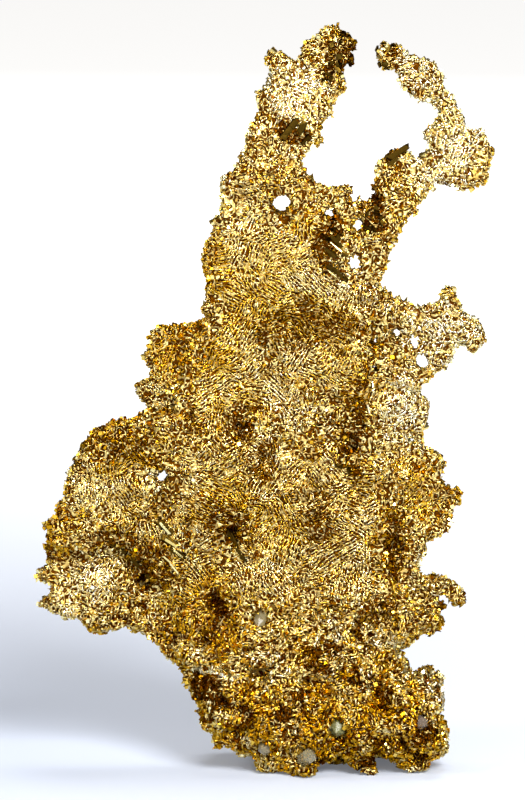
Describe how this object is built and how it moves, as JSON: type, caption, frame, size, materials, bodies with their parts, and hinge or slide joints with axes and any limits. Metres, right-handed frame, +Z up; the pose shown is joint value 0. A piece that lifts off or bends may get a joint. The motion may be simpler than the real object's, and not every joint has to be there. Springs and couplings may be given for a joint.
{
  "type": "native gold specimen",
  "caption": "Upright specimen of crystalline native gold: rough ridged leaves that fork into a horn, a curved arm and a hook, on a lumpy foot set with small quartz crystals.",
  "frame": {"origin": "centre of the bounding box's bottom, on the ground that the foot stands on", "axes": "+Z up along the leaves, -Y out of the face that the picture shows, +X towards the curved arm and the hook"},
  "size_m": [0.0554, 0.0188, 0.0901],
  "materials": {
    "gold": "bright, rough with fine crystal ridges and brown stain in the hollows",
    "quartz": "clear to milky"
  },
  "bodies": {
    "root": {"gold_leaf": "gold", "left_horn": "gold", "right_arm": "gold", "side_hook": "gold", "quartz_crystal_1": "quartz", "quartz_crystal_2": "quartz", "quartz_crystal_3": "quartz", "quartz_crystal_4": "quartz", "quartz_crystal_5": "quartz"}
  },
  "joints": []
}
